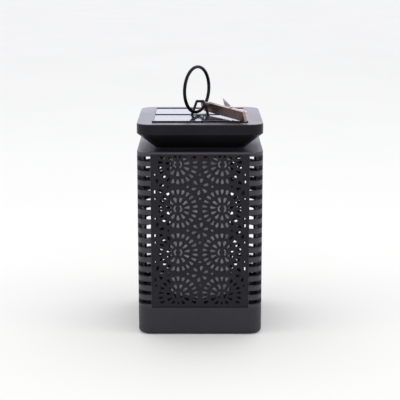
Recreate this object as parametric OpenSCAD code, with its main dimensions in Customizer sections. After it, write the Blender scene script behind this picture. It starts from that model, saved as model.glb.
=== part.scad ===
// Square hanging solar lantern: a perforated body on a solid base, a lift-off solar cap that
// carries a frosted flame tube, and a hanging ring with a spring clip.
// Millimetres. +Z is up, the front is -Y, and the origin is the centre of the base on the floor.

/* [Body] */
// outside width of the square body and of the cap
body_w = 110; // [106:1:114]
// plan radius of the body's corners
body_r = 11.6; // [11:0.1:11.8]
// height of the solid base
base_h = 25; // [22:0.5:27]
// rounding of the base's bottom edge
base_edge = 3; // [2:0.5:3.5]
// height of the body's flat top above the floor
body_top = 165; // [163:0.5:168]
// thickness of the rim plate on top of the body
rim_t = 1.8; // [1.6:0.1:2.2]
// wall thickness of the slatted corners
wall = 2.6; // [2.2:0.1:3]

/* [Corner slats] */
// number of open slots up each corner
slot_count = 16; // [12:1:16]
// height of one open slot
slot_h = 4.3; // [3.8:0.1:4.6]
// distance between neighbouring slots
slot_pitch = 8.64; // [8.4:0.02:8.7]
// half width of the flat part between two slatted corners
slot_from = 43.1; // [43:0.1:43.2]

/* [Pierced panels] */
// sideways distance between two rosettes
rose_dx = 38.6; // [38:0.1:39]
// upward distance between two rosettes
rose_dz = 39.3; // [39:0.1:39.6]
// petals in a rosette's inner ring; the outer ring has twice as many
petals = 11; // [9:1:11]
// radius of the inner ring of petals
inner_ring_r = 8.1; // [7.9:0.1:8.2]
// radius of the outer ring of petals
outer_ring_r = 15.2; // [15:0.1:15.3]
// thickness of a panel
panel_t = 2; // [1.6:0.1:2]

/* [Cap] */
// height of the cap's flat top above the floor
cap_top_z = 189.2; // [188:0.1:190]
// height of the cap's upright band
band_h = 9.2; // [8.5:0.1:10]
// plan radius of the cap's corners
cap_r = 12; // [11:0.5:13]
// half width of the cap where its taper ends above the body
taper_low = 40; // [40:0.1:40.6]
// half width of the raised frame round the solar panels
bezel_half = 42; // [41:0.1:42.5]
// height of that frame above the cap's top
bezel_up = 1.2; // [1:0.05:1.25]

/* [Light] */
// outside radius of the frosted tube
tube_r = 27.5; // [26:0.1:27.6]
// wall thickness of the frosted tube
tube_wall = 1.6; // [1.2:0.1:2]
// rows of lamps up the flame board
lamp_rows = 8; // [6:1:9]
// columns of lamps round the flame board
lamp_cols = 6; // [5:1:8]

/* [Ring and clip] */
// radius of the hanging ring, to the middle of its wire
ring_r = 20.3; // [20.2:0.05:20.4]
// radius of the ring's wire
ring_wire = 1.5; // [1.4:0.05:1.55]
// turn of the ring away from facing the front, in degrees
ring_turn = 57.6; // [57:0.2:58]
// width of the clip's sheet levers
clip_w = 9.4; // [9.2:0.1:9.8]
// length of the clip from its ring hole to its jaw tip
clip_len = 69; // [67:1:70]
// plan angle of the clip, turned from +X towards the front, in degrees
clip_yaw = 60; // [59:0.25:61]
// lean of the clip about its length, in degrees
clip_roll = 17; // [16:1:19]
// dip of the clip's jaw end, in degrees
clip_dip = 1; // [0.6:0.1:1.1]
// angle between the clip's two handles, in degrees
clip_open = 18; // [17:1:19]

/* [Hidden] */
$fn = 64;
eps = 0.01;
seat = 0.05;                                  // gap between faces that rest on each other
fit = 0.3;                                    // gap between curved neighbours
half = body_w / 2;

// body heights
post_z0 = base_h;
rim_z0 = body_top - rim_t;
post_z1 = rim_z0 - seat;
base_wall = 4;
base_floor = 2.4;                             // thickness of the base's flat top
cover_t = 2.4;
post_at = 44;                                 // base screw position from the centre line
base_boss_r = 4;
base_rib = [1.6, 8];                          // thickness and depth of the base's inner ribs
base_rib_half = half - base_wall + 1;
head_sink = 1.7;                              // depth of the sinks for the base screws' heads
vent = [2, 24, 0.8];                          // shallow grooves under the cover

// panels
stile_half = 42.75;                           // half width of the opening a panel stands in
panel_half = stile_half - 0.12;
panel_z0 = base_h + 0.7;
panel_z1 = rim_z0 - 0.25;
panel_back = half - panel_t;
border = 2.6;
win_half = panel_half - border;
win_z0 = panel_z0 + 2.4;
win_z1 = panel_z1 - 0.8;
win_mid = (win_z0 + win_z1) / 2;
ledge_t = 1.75;
ledge_half = stile_half - 2.3;
slot_mid = (post_z0 + post_z1) / 2 + 0.2;

// holes of the pierced panels; a petal is [length, width at its inner end, width at its outer end]
heart_r = 3.1;
heart_w = 1.5;
heart_spread = 58;
inner_petal = [4.9, 1.3, 2.9];
outer_petal = [4.6, 1.5, 2.8];
flower_petal = [4.6, 1.5, 3];
flower_r = 5.3;
flower_turn = 18;
dot_at = 10.7;
dot_r = 1.1;

// cap heights
cap_half = half;
band_z0 = cap_top_z - band_h;
seat_z = body_top + seat;
taper_z0 = body_top + 1.5;
taper_h = band_z0 - taper_z0;
cap_wall = 2.2;
floor_t = 2.2;
floor_z1 = taper_z0 + floor_t;
rim_hole = 39.2;                              // half width of the opening in the rim
neck_half = rim_hole - 0.5;
neck_wall = 1.8;
neck_r = 7.5;                                 // plan radius of the neck's corners
neck_z0 = body_top - 8;
roof_t = 3.4;                                 // thickness of the cap's top
wire_hole_r = 4;
boss_at = 33;                                 // cap screw position from the centre line
boss_r = 3.2;
screw_r = 1.1;
screw_len = 12;
bore_r = 1.2;
head_r = 2.4;
head_t = 1.6;
bezel_w = 1.6;
bezel_z0 = cap_top_z - 1;
bezel_z1 = cap_top_z + bezel_up;
tile_gap = 0.15;
tile_z1 = cap_top_z + 0.65;

// hanging eye
eye_wire = 1.2;
eye_top = 14 - eye_wire;                      // above the cap's top, to the middle of the bar
eye_half_top = 2.9;
eye_half_low = 7.3;
eye_pad = [18, 7, 1.2];
pad_cut = [eye_pad[0] + 0.4, eye_pad[1] + 0.4];

// light
tube_z0 = base_h + 0.4;
tube_z1 = taper_z0 - 0.2;
foot_h = 6;
foot_t = 2;                                   // wall of the plug in the tube's lower end
collar_r = tube_r + fit;
collar_wall = 1.8;
collar_h = 8;
core_r = 13.5;
core_wall = 1.6;
core_z0 = 58;
strip_r = core_r + fit;
strip_t = 0.5;
strip_z0 = 62;
strip_z1 = 154;
lamp = [1, 3, 3];

// battery, board and switch, inside the cap
cell_r = 7.1;
cell_half = 25.2;
cell_y = 24;
cell_z = floor_z1 + 9.3;
cradle = [58, 18, 9];
board = [46, 26, 1.6];
board_y = -14;
board_z = floor_z1 + 3.4;
pcb_post_r = 1.8;
pcb_post_at = [board[0] / 2 - 3, board[1] / 2 - 3];
switch_x = -(collar_r + collar_wall + neck_half - neck_wall) / 2;
switch_body_size = [5.6, 13, 4.6];
switch_slot = [2.4, 8];
switch_travel = 3;
knob_y = -switch_travel / 2;
knob_stem = [1.8, 2.4, floor_t + 3.6];
knob_pad = [3.4, 4.4, 2.6];

// ring: it stands in the eye, and its lowest point is just clear of the eye's pad
ring_x = -2.8;
ring_z = cap_top_z + eye_pad[2] + 0.45 + ring_wire + ring_r;

// clip: its tail hole sits round the ring's wire, this far round from the ring's lowest point
hang_at = 36;
hang = [
    ring_x + ring_r * sin(hang_at) * cos(ring_turn),
    ring_r * sin(hang_at) * sin(ring_turn),
    ring_z - ring_r * cos(hang_at)
];
sheet = 0.8;
fold = 2.4;                                   // depth of a lever's folded edges, sheet included
tail = 4.4;
hole_r = 2.7;
fold_from = 8;
pin_x = clip_len - 23;
pin_y = fold - 0.4;
pin_r = 0.8;
pin_bore = 0.85;
ear_r = 2.2;
back_ear_r = 1.5;
pin_head_r = 1.4;
pin_head_t = 0.6;
back_half = clip_w / 2 - sheet - fit;
back_y = 2 * pin_y + 0.4;                     // outer face of the back lever's jaw
handle_len = 38.6;
wall_len = 5;                                 // reach of the back lever's side walls past the pin

// ---- shared shapes ----

// a square with rounded corners, h being half its width
module round_square(h, r) {
    square([2 * h, 2 * (h - r)], center = true);
    square([2 * (h - r), 2 * h], center = true);
    for (x = [-1, 1], y = [-1, 1]) {
        translate([x * (h - r), y * (h - r)]) circle(r);
    }
}

// a section r wide and h tall whose outer corners are rounded by top and low
module edge_section(r, h, top, low) {
    square([r - max(top, low), h]);
    translate([0, low]) square([r, h - top - low]);
    if (top > 0) {
        translate([r - top, h - top]) circle(top);
        translate([0, h - top]) square([r - top, top]);
    }
    if (low > 0) {
        translate([r - low, low]) circle(low);
        square([r - low, low]);
    }
}

// a square slab with rounded corners and softened top and bottom edges
module soft_slab(h, r, z, t, top = 0, low = 0) {
    translate([0, 0, z]) {
        translate([-(h - r), -(h - r), 0]) cube([2 * (h - r), 2 * (h - r), t]);
        for (a = [0:90:270]) {
            rotate([0, 0, a]) {
                translate([h - r, h - r, 0]) {
                    rotate_extrude() edge_section(r, t, top, low);
                }
                translate([h - r, h - r, 0]) {
                    rotate([90, 0, 0]) linear_extrude(2 * (h - r)) edge_section(r, t, top, low);
                }
            }
        }
    }
}

module slab(h, r, z, t) {
    translate([0, 0, z]) linear_extrude(t) round_square(h, r);
}

module at_corners(d) {
    for (x = [-d, d], y = [-d, d]) {
        translate([x, y, 0]) children();
    }
}

// a pan-head screw pointing up, its head's underside at z = 0
module screw(len) {
    translate([0, 0, -head_t]) {
        difference() {
            cylinder(r = head_r, h = head_t);
            translate([-head_r, -0.35, -eps]) cube([2 * head_r, 0.7, head_t / 2]);
        }
    }
    translate([0, 0, -eps]) cylinder(r = screw_r, h = len);
}

// ---- body ----

module base_tray() {
    color([0.09, 0.09, 0.1]) {
        difference() {
            union() {
                difference() {
                    soft_slab(half, body_r, 0, base_h, 0, base_edge);
                    slab(half - base_wall, body_r - base_wall, -eps, base_h - base_floor);
                }
                at_corners(post_at) {
                    translate([0, 0, cover_t + seat]) {
                        cylinder(r = base_boss_r, h = base_h - cover_t - 1);
                    }
                }
                for (a = [0, 90]) {
                    rotate([0, 0, a]) {
                        translate([-base_rib_half, -base_rib[0] / 2, base_h - base_floor - base_rib[1]]) {
                            cube([2 * base_rib_half, base_rib[0], base_rib[1] + 1]);
                        }
                    }
                }
            }
            at_corners(post_at) translate([0, 0, -eps]) cylinder(r = bore_r, h = base_h - 6);
        }
    }
}

module base_cover() {
    h = half - base_wall - fit;
    color([0.08, 0.08, 0.09]) {
        difference() {
            slab(h, body_r - base_wall - fit, 0, cover_t);
            at_corners(post_at) {
                translate([0, 0, -eps]) cylinder(r = head_r + 0.4, h = head_sink + eps);
                translate([0, 0, -eps]) cylinder(r = screw_r + fit, h = cover_t + 1);
            }
            for (x = [-30:10:30]) {
                translate([x - vent[0] / 2, -vent[1] / 2, -eps]) cube(vent);
            }
        }
    }
}

module base_screws() {
    color([0.6, 0.6, 0.62]) {
        at_corners(post_at) translate([0, 0, head_sink - seat]) screw(screw_len);
    }
}

// the slatted corner at +X, -Y
module corner_post() {
    h = post_z1 - post_z0;
    difference() {
        translate([0, 0, post_z0]) {
            linear_extrude(h) {
                intersection() {
                    difference() {
                        round_square(half, body_r);
                        round_square(half - wall, body_r - wall);
                    }
                    translate([stile_half, -half - 1]) square(half - stile_half + 1);
                }
                translate([ledge_half, -panel_back + seat]) {
                    square([slot_from - ledge_half, ledge_t]);
                }
                translate([panel_back - seat - ledge_t, -slot_from]) {
                    square([ledge_t, slot_from - ledge_half]);
                }
            }
        }
        for (i = [0:slot_count - 1]) {
            z = slot_mid + (i - (slot_count - 1) / 2) * slot_pitch;
            translate([slot_from, -slot_from - 20, z - slot_h / 2]) cube([20, 20, slot_h]);
        }
    }
}

module post_front_right() {
    color([0.1, 0.1, 0.11]) corner_post();
}

module post_front_left() {
    color([0.1, 0.1, 0.11]) mirror([1, 0, 0]) corner_post();
}

module post_back_right() {
    color([0.1, 0.1, 0.11]) mirror([0, 1, 0]) corner_post();
}

module post_back_left() {
    color([0.1, 0.1, 0.11]) rotate([0, 0, 180]) corner_post();
}

// outline of one petal lying along +X, centred r from the origin
function petal(r, size) = let (
    reach = size[0] / 2,
    in_r = size[1] / 2,
    out_r = size[2] / 2
) concat(
    [for (a = [-90:45:90]) [r + reach - out_r + out_r * cos(a), out_r * sin(a)]],
    [for (a = [90:60:270]) [r - reach + in_r + in_r * cos(a), in_r * sin(a)]]
);

// outline of an arc-shaped slot centred on +X
function arc_slot(r, w, spread) = concat(
    [for (a = [-spread:spread / 2:spread]) [(r + w / 2) * cos(a), (r + w / 2) * sin(a)]],
    [for (a = [spread:-spread / 2:-spread]) [(r - w / 2) * cos(a), (r - w / 2) * sin(a)]]
);

// holes of one rosette: two arcs and two rings of petals, one petal pointing straight down
module rosette() {
    for (a = [0, 180]) {
        rotate(a) polygon(arc_slot(heart_r, heart_w, heart_spread));
    }
    for (i = [0:petals - 1]) {
        rotate(-90 + i * 360 / petals) polygon(petal(inner_ring_r, inner_petal));
    }
    for (i = [0:2 * petals - 1]) {
        rotate(-90 + i * 180 / petals) polygon(petal(outer_ring_r, outer_petal));
    }
}

// holes of the small flower that fills the space between four rosettes
module small_flower() {
    for (i = [0:5]) {
        rotate(flower_turn + 60 * i) polygon(petal(flower_r, flower_petal));
    }
    for (i = [0:3]) {
        rotate(90 * i) translate([dot_at, 0]) circle(r = dot_r, $fn = 10);
    }
}

// a pierced panel in its own plane: X across, Y up
module panel_sheet() {
    difference() {
        translate([-panel_half, panel_z0]) square([2 * panel_half, panel_z1 - panel_z0]);
        intersection() {
            translate([-win_half, win_z0]) square([2 * win_half, win_z1 - win_z0]);
            union() {
                for (x = [-0.5, 0.5], k = [-1.5:1:1.5]) {
                    translate([x * rose_dx, win_mid + k * rose_dz]) rosette();
                }
                for (x = [-1:1], k = [-1:1]) {
                    translate([x * rose_dx, win_mid + k * rose_dz]) small_flower();
                }
            }
        }
    }
}

module pierced_panel() {
    translate([0, -panel_back, 0]) {
        rotate([90, 0, 0]) linear_extrude(panel_t - 0.2) panel_sheet();
    }
}

module panel_front() {
    color([0.07, 0.07, 0.08]) pierced_panel();
}

module panel_back() {
    color([0.07, 0.07, 0.08]) rotate([0, 0, 180]) pierced_panel();
}

module panel_left() {
    color([0.07, 0.07, 0.08]) rotate([0, 0, -90]) pierced_panel();
}

module panel_right() {
    color([0.07, 0.07, 0.08]) rotate([0, 0, 90]) pierced_panel();
}

module body_rim() {
    color([0.11, 0.11, 0.12]) {
        difference() {
            soft_slab(half, body_r, rim_z0, rim_t, 0.5, 0);
            slab(rim_hole, neck_r + 0.5, rim_z0 - 1, rim_t + 2);
        }
    }
}

// ---- cap ----

module cap_top() {
    inner = cap_half - cap_wall;
    color([0.08, 0.08, 0.09]) {
        difference() {
            union() {
                difference() {
                    soft_slab(cap_half, cap_r, band_z0, band_h, 0.8, 0.4);
                    slab(inner, cap_r - cap_wall, band_z0 - 1, band_h - roof_t + 1);
                    slab(bezel_half + seat, 1.5, bezel_z0, 2);
                }
                at_corners(boss_at) {
                    translate([0, 0, floor_z1 + seat]) {
                        cylinder(r = boss_r, h = cap_top_z - roof_t + 0.4 - floor_z1);
                    }
                }
            }
            at_corners(boss_at) {
                translate([0, 0, floor_z1 - 1]) cylinder(r = bore_r, h = screw_len + 1);
            }
        }
    }
}

// inverted pyramid under the band, with the floor, the neck and the tube's collar
module cap_skirt() {
    top_half = cap_half - 0.3;
    inner_low = taper_low - cap_wall;
    inner_top = top_half - cap_wall;
    color([0.05, 0.05, 0.06]) {
        difference() {
            union() {
                translate([0, 0, taper_z0]) {
                    linear_extrude(taper_h - seat, scale = top_half / taper_low) {
                        round_square(taper_low, cap_r * taper_low / top_half);
                    }
                }
                slab(taper_low, cap_r * taper_low / top_half, seat_z, taper_z0 - seat_z + eps);
                slab(neck_half, neck_r, neck_z0, taper_z0 - neck_z0 + eps);
            }
            translate([0, 0, floor_z1]) {
                linear_extrude(taper_h - floor_t + eps, scale = inner_top / inner_low) {
                    round_square(inner_low, cap_r * inner_low / top_half);
                }
            }
            slab(neck_half - neck_wall, neck_r - neck_wall, neck_z0 - 1, taper_z0 - neck_z0 + 1);
            at_corners(boss_at) {
                translate([0, 0, taper_z0 - 1]) cylinder(r = screw_r + fit, h = floor_t + 2);
            }
            translate([switch_x - switch_slot[0] / 2, -switch_slot[1] / 2, taper_z0 - 1]) {
                cube([switch_slot[0], switch_slot[1], floor_t + 2]);
            }
            translate([0, 0, taper_z0 - 1]) cylinder(r = wire_hole_r, h = floor_t + 2);
        }
        translate([0, 0, taper_z0 - collar_h]) {
            difference() {
                cylinder(r = collar_r + collar_wall, h = collar_h + eps, $fn = 96);
                translate([0, 0, -1]) cylinder(r = collar_r, h = collar_h + 2, $fn = 96);
            }
        }
        for (x = [-1, 1], y = [-1, 1]) {
            translate([x * pcb_post_at[0], board_y + y * pcb_post_at[1], floor_z1 - eps]) {
                cylinder(r = pcb_post_r, h = board_z - seat - floor_z1);
            }
        }
    }
}

module cap_screws() {
    color([0.6, 0.6, 0.62]) {
        at_corners(boss_at) translate([0, 0, taper_z0 - seat]) screw(screw_len);
    }
}

// raised frame with a rib between the two tiles; the rib stops at the eye's pad
module panel_bezel() {
    w = bezel_half - bezel_w;
    h = bezel_z1 - bezel_z0;
    color([0.07, 0.07, 0.08]) {
        difference() {
            slab(bezel_half, 1.4, bezel_z0 + seat, h - seat);
            for (y = [-1, 1]) {
                translate([0, y * (w + bezel_w / 2) / 2, bezel_z0 + h / 2]) {
                    cube([2 * w, w - bezel_w / 2, h + 2], center = true);
                }
            }
            translate([0, 0, bezel_z0 + h / 2]) {
                cube([pad_cut[0], pad_cut[1], h + 2], center = true);
            }
        }
    }
}

// one solar tile, on the +Y side
module tile() {
    w = bezel_half - bezel_w - tile_gap;
    y0 = bezel_w / 2 + tile_gap;
    difference() {
        translate([-w, y0, bezel_z0 + seat]) cube([2 * w, w - y0, tile_z1 - bezel_z0 - seat]);
        translate([0, 0, bezel_z0]) {
            cube([pad_cut[0], pad_cut[1], 8], center = true);
        }
    }
}

module solar_tile_back() {
    color([0.05, 0.06, 0.12]) tile();
}

module solar_tile_front() {
    color([0.05, 0.06, 0.12]) mirror([0, 1, 0]) tile();
}

// trapezoid loop of round bar standing on a pad, opening to the front and back
module hanging_eye() {
    z0 = cap_top_z + eye_pad[2] - 0.4;
    z1 = cap_top_z + eye_top;
    lean = atan((eye_half_low - eye_half_top) / (z1 - z0));
    leg = (z1 - z0) / cos(lean);
    color([0.05, 0.05, 0.06]) {
        translate([-eye_pad[0] / 2, -eye_pad[1] / 2, bezel_z0 + seat]) {
            cube([eye_pad[0], eye_pad[1], eye_pad[2] + 1 - seat]);
        }
        for (s = [-1, 1]) {
            translate([s * eye_half_top, 0, z1]) {
                sphere(r = eye_wire, $fn = 32);
                rotate([0, 180 - s * lean, 0]) cylinder(r = eye_wire, h = leg, $fn = 32);
            }
        }
        translate([-eye_half_top, 0, z1]) {
            rotate([0, 90, 0]) cylinder(r = eye_wire, h = 2 * eye_half_top, $fn = 32);
        }
    }
}

module battery_cell() {
    color([0.1, 0.35, 0.2]) {
        translate([-cell_half, cell_y, cell_z]) {
            rotate([0, 90, 0]) cylinder(r = cell_r, h = 2 * cell_half - 1);
        }
        translate([cell_half - 1 - eps, cell_y, cell_z]) {
            rotate([0, 90, 0]) cylinder(r = 2.7, h = 1);
        }
    }
}

module battery_cradle() {
    color([0.1, 0.1, 0.1]) {
        difference() {
            translate([-cradle[0] / 2, cell_y - cradle[1] / 2, floor_z1 + seat]) cube(cradle);
            translate([-cradle[0] / 2 + 2, cell_y, cell_z]) {
                rotate([0, 90, 0]) cylinder(r = cell_r + fit, h = cradle[0] - 4);
            }
        }
    }
}

module battery_contacts() {
    color([0.75, 0.72, 0.6]) {
        for (s = [-1, 1]) {
            translate([s * (cell_half + 0.75), cell_y, cell_z - 1]) {
                cube([0.5, 8, 8], center = true);
            }
        }
    }
}

module circuit_board() {
    color([0.06, 0.3, 0.14]) {
        translate([-board[0] / 2, board_y - board[1] / 2, board_z]) cube(board);
    }
}

module board_parts() {
    z = board_z + board[2] + seat;
    color([0.12, 0.12, 0.13]) {
        translate([-12, board_y - 2, z]) cube([7, 5, 1.6]);
        translate([-2, board_y + 4, z]) cube([3.4, 2, 1.1]);
        translate([4, board_y + 4, z]) cube([3.4, 2, 1.1]);
        translate([8, board_y - 5, z]) cylinder(r = 3, h = 4.2);
        translate([15.5, board_y + 3, z]) cylinder(r = 2.5, h = 6);
        translate([-17, board_y - 9, z]) cube([9, 3.4, 3.2]);
    }
}

module switch_body() {
    b = switch_body_size;
    color([0.75, 0.75, 0.77]) {
        difference() {
            translate([switch_x - b[0] / 2, -b[1] / 2, floor_z1 + seat]) cube(b);
            translate([switch_x - switch_slot[0] / 2, -switch_slot[1] / 2, floor_z1 - 1]) {
                cube([switch_slot[0], switch_slot[1], 4.4]);
            }
        }
    }
}

module switch_knob() {
    color([0.85, 0.15, 0.12]) {
        translate([switch_x - knob_stem[0] / 2, knob_y - knob_stem[1] / 2, taper_z0 - 1.4]) {
            cube(knob_stem);
        }
        translate([switch_x - knob_pad[0] / 2, knob_y - knob_pad[1] / 2, taper_z0 - 3.4]) {
            cube(knob_pad);
        }
        for (i = [-1:1]) {
            translate([switch_x - knob_pad[0] / 2, knob_y - 0.25 + 1.3 * i, taper_z0 - 3.7]) {
                cube([knob_pad[0], 0.5, 0.5]);
            }
        }
    }
}

module lamp_core() {
    color([0.9, 0.9, 0.88]) {
        translate([0, 0, core_z0]) {
            difference() {
                cylinder(r = core_r, h = taper_z0 - seat - core_z0);
                translate([0, 0, core_wall]) cylinder(r = core_r - core_wall, h = taper_z0);
            }
        }
    }
}

module flame_board() {
    color([0.85, 0.8, 0.6]) {
        translate([0, 0, strip_z0]) {
            difference() {
                cylinder(r = strip_r + strip_t, h = strip_z1 - strip_z0);
                translate([0, 0, -1]) cylinder(r = strip_r, h = strip_z1 - strip_z0 + 2);
            }
        }
    }
}

module lamps() {
    step = (strip_z1 - strip_z0 - 8) / (lamp_rows - 1);
    z0 = strip_z0 + 4 - lamp[2] / 2;
    color([0.95, 0.8, 0.35]) {
        for (i = [0:lamp_rows - 1], j = [0:lamp_cols - 1]) {
            rotate([0, 0, (j + 0.5 * (i % 2)) * 360 / lamp_cols]) {
                translate([strip_r + strip_t + 0.2, -lamp[1] / 2, z0 + i * step]) {
                    cube(lamp);
                }
            }
        }
    }
}

module diffuser_tube() {
    color([0.85, 0.86, 0.88, 0.6]) {
        translate([0, 0, tube_z0]) {
            difference() {
                cylinder(r = tube_r, h = tube_z1 - tube_z0, $fn = 96);
                translate([0, 0, -1]) cylinder(r = tube_r - tube_wall, h = tube_z1, $fn = 96);
            }
        }
    }
}

// round plug that closes the tube's lower end
module tube_foot() {
    color([0.1, 0.1, 0.11]) {
        translate([0, 0, tube_z0]) {
            difference() {
                cylinder(r = tube_r - tube_wall - 0.2, h = foot_h, $fn = 96);
                translate([0, 0, foot_t]) {
                    cylinder(r = tube_r - tube_wall - 0.2 - foot_t, h = foot_h, $fn = 96);
                }
            }
        }
    }
}

// ---- ring and clip ----

module hang_ring() {
    color([0.04, 0.04, 0.05]) {
        translate([ring_x, 0, ring_z]) {
            rotate([0, 0, ring_turn]) {
                rotate([90, 0, 0]) {
                    rotate_extrude($fn = 96) translate([ring_r, 0]) circle(ring_wire, $fn = 32);
                }
            }
        }
    }
}

// clip frame: X from the ring hole to the jaw, Y from the front lever to the back one, Z across
module clip_place() {
    translate(hang) rotate([0, clip_dip, -clip_yaw]) rotate([clip_roll, 0, 0]) children();
}

// a sheet channel from x0 to x1: its back at y = 0 and its folded edges reaching y = fold
module channel(x0, x1, hw, edge_from) {
    translate([x0, 0, -hw]) cube([x1 - x0, sheet, 2 * hw]);
    for (s = [-1, 1]) {
        translate([edge_from, 0, s > 0 ? hw - sheet : -hw]) {
            cube([x1 - edge_from, fold, sheet]);
        }
    }
    translate([x1 - sheet, 0, -hw]) cube([sheet, fold, 2 * hw]);
}

// two ears that carry the pin, in the clip frame
module ears(hw) {
    for (s = [-1, 1]) {
        translate([pin_x, pin_y, s > 0 ? hw - sheet : -hw]) cylinder(r = ear_r, h = sheet, $fn = 32);
    }
}

module pin_hole() {
    translate([pin_x, pin_y, -clip_w]) cylinder(r = pin_bore, h = 2 * clip_w, $fn = 32);
}

module clip_front_lever() {
    hw = clip_w / 2;
    color([0.32, 0.25, 0.22]) {
        clip_place() {
            difference() {
                union() {
                    translate([0, -sheet / 2, 0]) {
                        channel(0, clip_len, hw, fold_from);
                        translate([-tail + hw, sheet, 0]) {
                            rotate([90, 0, 0]) cylinder(r = hw, h = sheet);
                        }
                    }
                    ears(hw);
                }
                translate([0, 2, 0]) rotate([90, 0, 0]) cylinder(r = hole_r, h = 4);
                pin_hole();
            }
        }
    }
}

// outline of a strip bent at the pin and running len past it, its faces h and g from the pin
function bent_strip(h, g, len) = let (
    n = [sin(clip_open), cos(clip_open)],
    along = [-cos(clip_open), sin(clip_open)],
    pin = [pin_x, pin_y],
    lean = tan(clip_open / 2)
) [
    [clip_len, pin_y + h], pin + [h * lean, h], pin + h * n + len * along,
    pin + g * n + len * along, pin + [g * lean, g], [clip_len, pin_y + g]
];

module clip_back_lever() {
    hw = back_half;
    h = back_y - pin_y;
    color([0.7, 0.7, 0.7]) {
        clip_place() {
            difference() {
                union() {
                    translate([0, 0, -hw]) {
                        linear_extrude(2 * hw) polygon(bent_strip(h, h - sheet, handle_len));
                    }
                    for (z = [-hw, hw - sheet]) {
                        translate([0, 0, z]) {
                            linear_extrude(sheet) {
                                polygon(bent_strip(h, seat, wall_len));
                                translate([pin_x, pin_y]) circle(back_ear_r, $fn = 32);
                            }
                        }
                    }
                    translate([clip_len - sheet, pin_y + seat, -hw]) {
                        cube([sheet, h - seat, 2 * hw]);
                    }
                }
                pin_hole();
            }
        }
    }
}

module clip_pin() {
    color([0.8, 0.8, 0.8]) {
        clip_place() {
            translate([pin_x, pin_y, 0]) {
                cylinder(r = pin_r, h = clip_w + 0.4, center = true, $fn = 32);
                for (s = [-1, 1]) {
                    translate([0, 0, s * (clip_w / 2 + 0.15 + pin_head_t / 2)]) {
                        cylinder(r = pin_head_r, h = pin_head_t, center = true, $fn = 32);
                    }
                }
            }
        }
    }
}

module clip_spring() {
    wire = 0.28;
    coil = pin_r + 0.1 + wire;
    turns = 9;
    leg = 7;
    color([0.75, 0.75, 0.76]) {
        clip_place() {
            translate([pin_x, pin_y, 0]) {
                rotate_extrude($fn = 48) {
                    for (i = [0:turns - 1]) {
                        translate([coil, (i - (turns - 1) / 2) * 1.8 * wire]) circle(wire, $fn = 32);
                    }
                }
                for (s = [-1, 1]) {
                    translate([0, s * coil, s * (turns - 1) * 0.9 * wire]) {
                        rotate([0, -90, 0]) cylinder(r = wire * 0.9, h = leg, $fn = 32);
                    }
                }
            }
        }
    }
}

base_tray();
base_cover();
base_screws();
post_front_left();
post_front_right();
post_back_left();
post_back_right();
panel_front();
panel_back();
panel_left();
panel_right();
body_rim();
cap_top();
cap_skirt();
cap_screws();
panel_bezel();
solar_tile_front();
solar_tile_back();
hanging_eye();
battery_cell();
battery_cradle();
battery_contacts();
circuit_board();
board_parts();
switch_body();
switch_knob();
lamp_core();
flame_board();
lamps();
diffuser_tube();
tube_foot();
hang_ring();
clip_front_lever();
clip_back_lever();
clip_pin();
clip_spring();
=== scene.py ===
import math

import bpy
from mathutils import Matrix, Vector

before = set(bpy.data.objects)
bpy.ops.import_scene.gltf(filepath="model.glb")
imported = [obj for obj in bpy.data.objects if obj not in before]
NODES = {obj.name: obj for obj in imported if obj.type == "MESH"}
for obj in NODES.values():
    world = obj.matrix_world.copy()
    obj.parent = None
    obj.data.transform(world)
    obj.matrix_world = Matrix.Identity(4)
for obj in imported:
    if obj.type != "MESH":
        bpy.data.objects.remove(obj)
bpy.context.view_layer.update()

# ---- node helpers ----------------------------------------------------------


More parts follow.
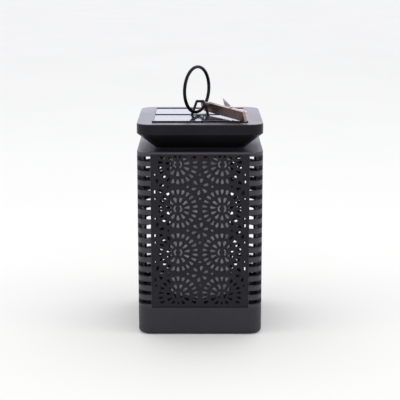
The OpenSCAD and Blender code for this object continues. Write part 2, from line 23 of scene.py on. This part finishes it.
class Shader:
    """A small builder for one node material."""

    def __init__(self, name):
        self.mat = bpy.data.materials.new(name)
        self.mat.use_nodes = True
        self.tree = self.mat.node_tree
        self.tree.nodes.clear()
        self.out = self.tree.nodes.new("ShaderNodeOutputMaterial")
        self.bsdf = self.tree.nodes.new("ShaderNodeBsdfPrincipled")
        self.link(self.bsdf, "BSDF", self.out, "Surface")
        self.coord = self.tree.nodes.new("ShaderNodeTexCoord")

    @classmethod
    def of(cls, mat):
        """Go on working on a material that was built before."""
        s = cls.__new__(cls)
        s.mat = mat
        s.tree = mat.node_tree
        s.bsdf = next(n for n in s.tree.nodes if n.type == "BSDF_PRINCIPLED")
        s.coord = next(n for n in s.tree.nodes if n.type == "TEX_COORD")
        return s

    def node(self, kind, **settings):
        n = self.tree.nodes.new(kind)
        for key, value in settings.items():
            setattr(n, key, value)
        return n

    def link(self, a, a_out, b, b_in):
        self.tree.links.new(a.outputs[a_out], b.inputs[b_in])

    def mapped(self, scale=(1, 1, 1)):
        """The object's own coordinates, stretched by scale."""
        m = self.node("ShaderNodeMapping")
        m.inputs["Scale"].default_value = scale
        self.link(self.coord, "Object", m, "Vector")
        return m

    def noise(self, scale, detail=3.0, rough=0.5, stretch=(1, 1, 1)):
        n = self.node("ShaderNodeTexNoise")
        n.inputs["Scale"].default_value = scale
        n.inputs["Detail"].default_value = detail
        n.inputs["Roughness"].default_value = rough
        self.link(self.mapped(stretch), "Vector", n, "Vector")
        return n

    def ramp(self, source, out, stops):
        """Colour ramp; each stop is (position, colour)."""
        r = self.node("ShaderNodeValToRGB")
        e = r.color_ramp.elements
        while len(e) < len(stops):
            e.new(0.5)
        for k, (at, colour) in enumerate(stops):
            e[k].position = at
            e[k].color = (*colour, 1)
        self.link(source, out, r, "Fac")
        return r

    def grade(self, source, out, low, high, start=0.3, stop=0.7):
        """Map start..stop of a node's output to low..high."""
        m = self.node("ShaderNodeMapRange")
        m.inputs["From Min"].default_value = start
        m.inputs["From Max"].default_value = stop
        m.inputs["To Min"].default_value = low
        m.inputs["To Max"].default_value = high
        self.link(source, out, m, "Value")
        return m

    def mix(self, fac, a, b):
        """Mix two colours; fac, a and b are numbers, colours or (node, output) pairs."""
        m = self.node("ShaderNodeMix", data_type="RGBA")
        for socket, value in ((0, fac), (6, a), (7, b)):
            if isinstance(value, tuple) and hasattr(value[0], "outputs"):
                self.tree.links.new(value[0].outputs[value[1]], m.inputs[socket])
            elif socket == 0:
                m.inputs[0].default_value = value
            else:
                m.inputs[socket].default_value = (*value, 1)
        return m

    def bump(self, sources, distance=0.0002):
        """Chain bumps; each source is (node, output, strength)."""
        last = None
        for node, out, strength in sources:
            b = self.node("ShaderNodeBump")
            b.inputs["Strength"].default_value = strength
            b.inputs["Distance"].default_value = distance
            self.link(node, out, b, "Height")
            if last is not None:
                self.link(last, "Normal", b, "Normal")
            last = b
        self.link(last, "Normal", self.bsdf, "Normal")

    def set(self, **values):
        """Set shader sockets; an underscore stands for a space."""
        for key, value in values.items():
            self.bsdf.inputs[key.replace("_", " ")].default_value = value


COOL = (0.97, 0.92, 1.0, 1)          # specular tint of the black plastics


def moulded(name, dark, light, rough, spread=0.06, grain=0.25, gloss=0.5, tint=COOL):
    """Moulded plastic: cloudy colour, fine spark texture, uneven sheen."""
    s = Shader(name)
    cloud = s.noise(38, 4, 0.6)
    speck = s.noise(1900, 2, 0.5)
    tone = s.ramp(cloud, "Fac", [(0.3, dark), (0.72, light)])
    dust = s.grade(speck, "Fac", 0.0, 0.22, 0.52, 0.8)
    pale = tuple(min(1, c * 1.7 + 0.01) for c in light)
    colour = s.mix((dust, "Result"), (tone, "Color"), pale)
    s.link(colour, 2, s.bsdf, "Base Color")
    smear = s.noise(14, 5, 0.62, (1, 1, 0.35))
    sheen = s.grade(smear, "Fac", rough - spread, rough + spread)
    s.link(sheen, "Result", s.bsdf, "Roughness")
    s.set(Specular_IOR_Level=gloss, Specular_Tint=tint)
    s.bump([(s.noise(1300, 2, 0.55), "Fac", grain), (s.noise(60, 2, 0.5), "Fac", grain * 0.4)])
    return s.mat


def two_sheens(mat, side, up, start=0.2, stop=0.9):
    """Give faces that look up another sheen than the upright ones."""
    s = Shader.of(mat)
    geo = s.node("ShaderNodeNewGeometry")
    split = s.node("ShaderNodeSeparateXYZ")
    s.link(geo, "Normal", split, "Vector")
    level = s.grade(split, "Z", side, up, start, stop)
    s.link(level, "Result", s.bsdf, "Specular IOR Level")


DRAWN = (1, 1, 12)                   # stretch of the drawing lines on sheet metal


def sheet_metal(name, low, high, rough):
    """Plated sheet: fine drawing lines, stains and uneven polish."""
    s = Shader(name)
    lines = s.noise(420, 3, 0.6, DRAWN)
    stain = s.noise(90, 4, 0.65)
    fac = s.mix(0.45, (lines, "Color"), (stain, "Color"))
    tone = s.ramp(fac, 2, [(0.34, low), (0.62, high)])
    s.link(tone, "Color", s.bsdf, "Base Color")
    polish = s.grade(stain, "Fac", rough - 0.07, rough + 0.1)
    s.link(polish, "Result", s.bsdf, "Roughness")
    s.set(Metallic=1.0)
    s.bump([(lines, "Fac", 0.12), (stain, "Fac", 0.1)])
    return s.mat


CELL_PITCH = 0.0134                  # spacing of the gaps between cells, m
BUS_PITCH = 0.0098                   # spacing of the busbars, m
FINGER_PITCH = 0.0012                # spacing of the thin fingers, m


def solar(name):
    """Dark cells under clear resin, with fine fingers and pale busbars."""
    s = Shader(name)
    place = s.mapped()
    split = s.node("ShaderNodeSeparateXYZ")
    s.link(place, "Vector", split, "Vector")

    def stripes(axis, gap, width, shift=0.0):
        """1 on lines of this width, repeated every gap along the axis; metres."""
        a = s.node("ShaderNodeMath", operation="ADD")
        a.inputs[1].default_value = shift
        s.link(split, axis, a, 0)
        m = s.node("ShaderNodeMath", operation="PINGPONG")
        m.inputs[1].default_value = gap / 2
        s.link(a, "Value", m, 0)
        c = s.node("ShaderNodeMath", operation="LESS_THAN")
        c.inputs[1].default_value = width / 2
        s.link(m, "Value", c, 0)
        return c

    cell_gap = stripes("X", CELL_PITCH, 0.0005)
    bus = stripes("Y", BUS_PITCH, 0.0007, BUS_PITCH / 2)
    finger = stripes("X", FINGER_PITCH, 0.00014)
    crystal = s.node("ShaderNodeTexVoronoi")
    crystal.inputs["Scale"].default_value = 420
    s.link(s.mapped(), "Vector", crystal, "Vector")
    cell = s.ramp(crystal, "Distance", [(0.0, (0.003, 0.004, 0.009)), (0.9, (0.006, 0.009, 0.02))])
    with_fingers = s.mix((finger, "Value"), (cell, "Color"), (0.045, 0.05, 0.065))
    with_bus = s.mix((bus, "Value"), (with_fingers, 2), (0.22, 0.225, 0.24))
    with_gap = s.mix((cell_gap, "Value"), (with_bus, 2), (0.09, 0.095, 0.11))
    s.link(with_gap, 2, s.bsdf, "Base Color")
    haze = s.noise(25, 4, 0.6)
    s.link(s.grade(haze, "Fac", 0.05, 0.12), "Result", s.bsdf, "Roughness")
    s.set(Coat_Weight=0.15, Coat_Roughness=0.03, Coat_IOR=1.5, IOR=1.47)
    s.bump([(s.noise(35, 2, 0.5), "Fac", 0.02)])
    return s.mat


def frosted(name):
    """Nearly opaque frosted plastic with a faint cloud in it."""
    s = Shader(name)
    cloud = s.noise(30, 4, 0.6)
    tone = s.ramp(cloud, "Fac", [(0.3, (0.9, 0.9, 0.9)), (0.7, (0.96, 0.96, 0.96))])
    s.link(tone, "Color", s.bsdf, "Base Color")
    s.link(s.grade(cloud, "Fac", 0.42, 0.58), "Result", s.bsdf, "Roughness")
    s.set(Transmission_Weight=0.08, IOR=1.45)
    s.bump([(s.noise(900, 2, 0.5), "Fac", 0.15)])
    return s.mat


def wrap(name):
    """Battery wrap: green sleeve with a paler band at one end."""
    s = Shader(name)
    split = s.node("ShaderNodeSeparateXYZ")
    s.link(s.coord, "Object", split, "Vector")
    band = s.ramp(s.grade(split, "X", 0, 1, -0.026, 0.026), "Result", [
        (0.0, (0.04, 0.26, 0.13)), (0.70, (0.05, 0.3, 0.15)), (0.72, (0.75, 0.76, 0.72)),
        (0.93, (0.7, 0.71, 0.68)), (0.95, (0.6, 0.6, 0.6))])
    scuff = s.noise(160, 4, 0.6)
    wear = s.grade(scuff, "Fac", 0, 0.25, 0.5, 0.8)
    colour = s.mix((wear, "Result"), (band, "Color"), (0.3, 0.35, 0.3))
    s.link(colour, 2, s.bsdf, "Base Color")
    s.link(s.grade(scuff, "Fac", 0.25, 0.4), "Result", s.bsdf, "Roughness")
    s.bump([(scuff, "Fac", 0.08)])
    return s.mat


BODY_DARK = (0.009, 0.0088, 0.0105)
BODY_LIGHT = (0.014, 0.0135, 0.016)

BLACK = moulded("body_black", BODY_DARK, BODY_LIGHT, 0.42, gloss=0.36)
SLATS = moulded("slat_black", (0.014, 0.0135, 0.0165), (0.02, 0.0195, 0.0235), 0.4, gloss=0.5)
RIM = moulded("rim_black", BODY_DARK, BODY_LIGHT, 0.4, gloss=0.8)
PIERCED = moulded("pierced_black", (0.005, 0.0048, 0.0058), (0.0085, 0.0082, 0.0098), 0.46, gloss=0.24)
CAP = moulded("cap_black", (0.004, 0.0038, 0.0048), (0.0075, 0.0072, 0.0088), 0.33, 0.05, 0.18)
two_sheens(CAP, 0.16, 0.95)
TRAY = moulded("tray_black", BODY_DARK, BODY_LIGHT, 0.5)
two_sheens(TRAY, 0.44, 0.01, 0.85, 0.97)
SKIRT = moulded("skirt_black", (0.003, 0.003, 0.0035), (0.005, 0.005, 0.006), 0.4, gloss=0.2)
EYE = moulded("eye_black", (0.004, 0.004, 0.0045), (0.007, 0.007, 0.008), 0.26, 0.05, 0.15, 0.3)
RING = moulded("ring_black", (0.002, 0.002, 0.0025), (0.0045, 0.0045, 0.005), 0.16, 0.04, 0.1, 0.12)
INNER = moulded("inner_black", (0.02, 0.02, 0.022), (0.035, 0.035, 0.038), 0.5)
WHITE = moulded("core_white", (0.72, 0.72, 0.69), (0.82, 0.82, 0.8), 0.45)
CREAM = moulded("strip_cream", (0.6, 0.56, 0.4), (0.68, 0.64, 0.48), 0.4)
LAMP = moulded("lamp_yellow", (0.78, 0.6, 0.16), (0.9, 0.74, 0.28), 0.3)
GREY = moulded("switch_grey", (0.4, 0.41, 0.43), (0.5, 0.51, 0.53), 0.35)
RED = moulded("knob_red", (0.45, 0.03, 0.025), (0.6, 0.05, 0.04), 0.35)
BOARD = moulded("board_green", (0.02, 0.16, 0.06), (0.03, 0.22, 0.09), 0.3)
BRONZE = sheet_metal("clip_bronze", (0.245, 0.165, 0.13), (0.47, 0.345, 0.285), 0.3)
NICKEL = sheet_metal("clip_nickel", (0.4, 0.37, 0.375), (0.6, 0.565, 0.57), 0.28)
STEEL = sheet_metal("plain_steel", (0.42, 0.42, 0.44), (0.6, 0.6, 0.62), 0.32)
CONTACT = sheet_metal("contact_metal", (0.5, 0.44, 0.3), (0.7, 0.63, 0.45), 0.3)
TILE = solar("solar_cells")
FROST = frosted("frosted_tube")
WRAP = wrap("battery_wrap")

LOOK = {
    "base_tray": TRAY, "base_cover": BLACK, "body_rim": RIM,
    "post_front_left": SLATS, "post_front_right": SLATS,
    "post_back_left": SLATS, "post_back_right": SLATS,
    "panel_front": PIERCED, "panel_back": PIERCED, "panel_left": PIERCED, "panel_right": PIERCED,
    "cap_top": CAP, "cap_skirt": SKIRT, "panel_bezel": CAP, "hanging_eye": EYE,
    "solar_tile_front": TILE, "solar_tile_back": TILE,
    "battery_cell": WRAP, "battery_cradle": INNER, "battery_contacts": CONTACT,
    "circuit_board": BOARD, "board_parts": INNER, "switch_body": GREY, "switch_knob": RED,
    "lamp_core": WHITE, "flame_board": CREAM, "lamps": LAMP,
    "diffuser_tube": FROST, "tube_foot": FROST, "hang_ring": RING,
    "clip_front_lever": BRONZE, "clip_back_lever": NICKEL,
    "clip_pin": STEEL, "clip_spring": STEEL, "base_screws": STEEL, "cap_screws": STEEL,
}
for node, material in LOOK.items():
    slots = NODES[node].material_slots
    if not slots:
        NODES[node].data.materials.append(material)
    for slot in slots:
        slot.material = material

# ---- floor, light, camera --------------------------------------------------


FLOOR_DROP = 0.0002                  # the floor lies this far under the base, m
BACKDROP = (0.885, 0.88, 1.0, 1)
FRONT_STRENGTH = 1.18                # world strength towards the camera's side
BACK_STRENGTH = 1.76                 # world strength behind the lantern
LIGHT_AIM = (0, 0, 0.1)
CAMERA_AT = (0, -1.04407, 0.34334)
CAMERA_DIP = 0.219235                # downward tilt, radians
CAMERA_LENS = 104.75                 # mm, on a sensor 36 mm wide


def floor_material():
    s = Shader("pale_floor")
    cloud = s.noise(3, 3, 0.5)
    tone = s.ramp(cloud, "Fac", [(0.3, (0.66, 0.665, 0.588)), (0.7, (0.675, 0.68, 0.602))])
    s.link(tone, "Color", s.bsdf, "Base Color")
    s.set(Roughness=0.9, Specular_IOR_Level=0.1)
    return s.mat


bpy.ops.mesh.primitive_plane_add(size=30, location=(0, 0, -FLOOR_DROP))
floor = bpy.context.object
floor.name = "floor"
floor.data.materials.append(floor_material())

world = bpy.data.worlds.new("studio")
bpy.context.scene.world = world
world.use_nodes = True
wt = world.node_tree
wt.nodes.clear()
w_out = wt.nodes.new("ShaderNodeOutputWorld")
w_bg = wt.nodes.new("ShaderNodeBackground")
w_coord = wt.nodes.new("ShaderNodeTexCoord")
w_split = wt.nodes.new("ShaderNodeSeparateXYZ")
w_front = wt.nodes.new("ShaderNodeMapRange")
w_front.inputs["From Min"].default_value = -0.75
w_front.inputs["From Max"].default_value = 0.55
w_front.inputs["To Min"].default_value = FRONT_STRENGTH
w_front.inputs["To Max"].default_value = BACK_STRENGTH
wt.links.new(w_coord.outputs["Generated"], w_split.inputs["Vector"])
wt.links.new(w_split.outputs["Y"], w_front.inputs["Value"])
wt.links.new(w_front.outputs["Result"], w_bg.inputs["Strength"])
w_bg.inputs["Color"].default_value = BACKDROP
wt.links.new(w_bg.outputs["Background"], w_out.inputs["Surface"])


def area_light(name, at, size, power):
    data = bpy.data.lights.new(name, "AREA")
    data.shape = "RECTANGLE"
    data.size, data.size_y = size
    data.energy = power
    lamp = bpy.data.objects.new(name, data)
    bpy.context.scene.collection.objects.link(lamp)
    lamp.location = at
    lamp.rotation_euler = (Vector(LIGHT_AIM) - Vector(at)).to_track_quat("-Z", "Y").to_euler()


area_light("soft_left", (-1.1, -0.35, 0.7), (0.5, 1.1), 2.4)
area_light("soft_right", (1.1, -0.35, 0.7), (0.5, 1.1), 2.4)
area_light("soft_top", (0.0, 0.2, 1.3), (1.0, 1.0), 1.5)

camera_data = bpy.data.cameras.new("view")
camera_data.lens = CAMERA_LENS
camera_data.sensor_width = 36
camera_data.clip_start = 0.05
camera_data.clip_end = 60
camera = bpy.data.objects.new("view", camera_data)
bpy.context.scene.collection.objects.link(camera)
camera.location = CAMERA_AT
camera.rotation_euler = (math.pi / 2 - CAMERA_DIP, 0, 0)
bpy.context.scene.camera = camera

bpy.context.scene.view_settings.view_transform = "Standard"
bpy.context.scene.view_settings.look = "None"
